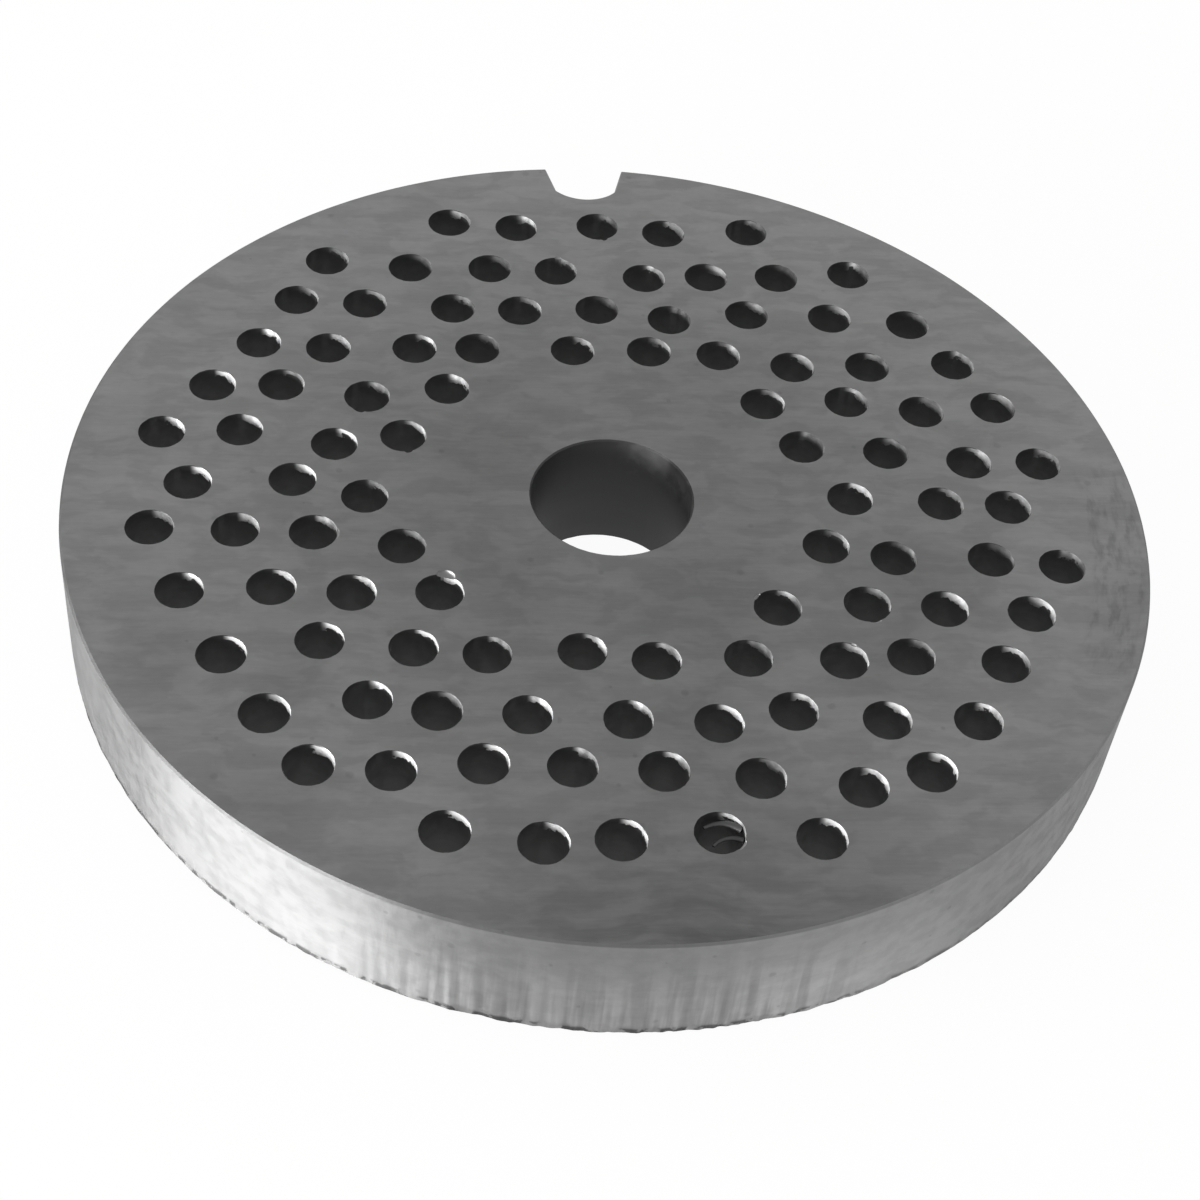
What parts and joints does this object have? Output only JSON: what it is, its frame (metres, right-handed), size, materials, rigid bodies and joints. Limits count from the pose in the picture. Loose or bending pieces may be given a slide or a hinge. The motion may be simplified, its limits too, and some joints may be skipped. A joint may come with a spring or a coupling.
{
  "type": "meat grinder plate",
  "caption": "Round perforated steel plate with a central bore and a locating notch in its rim, through which a meat grinder pushes the cut meat.",
  "frame": {"origin": "on the axis of the central bore, in the discharge face, which the plate lies on", "axes": "+Z along the bore to the cutting face, +Y out through the locating notch, +X along the rows of holes, to within a degree"},
  "size_m": [0.07, 0.0699, 0.009],
  "materials": {
    "plate": "ground carbon steel: both faces ground dull grey, the turned rim brighter"
  },
  "bodies": {
    "root": {"plate": "plate"}
  },
  "joints": []
}
